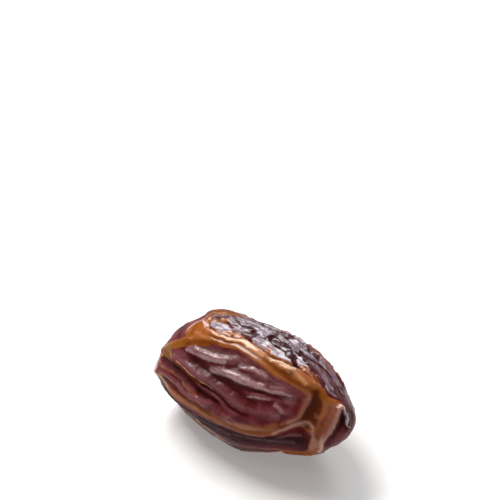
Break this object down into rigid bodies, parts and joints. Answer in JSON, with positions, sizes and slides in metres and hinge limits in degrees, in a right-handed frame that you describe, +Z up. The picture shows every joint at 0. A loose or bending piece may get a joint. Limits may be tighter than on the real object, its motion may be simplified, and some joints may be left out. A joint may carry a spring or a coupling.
{
  "type": "medjool date",
  "caption": "Whole dried date fruit lying on its side, with wrinkled glossy skin, a stalk scar at one end and a small dry point at the other.",
  "frame": {"origin": "on the surface the fruit rests on, under the middle of its bounding box", "axes": "+X along the fruit, from the stalk scar to the dry point at the tip; +Z up; the folded face in the picture looks towards -Y and up"},
  "size_m": [0.0464, 0.0266, 0.024],
  "materials": {
    "medjool_date": "thin glossy skin, wrinkled, purple-brown on the faces and amber along the folds"
  },
  "bodies": {
    "root": {"medjool_date": "medjool_date"}
  },
  "joints": []
}
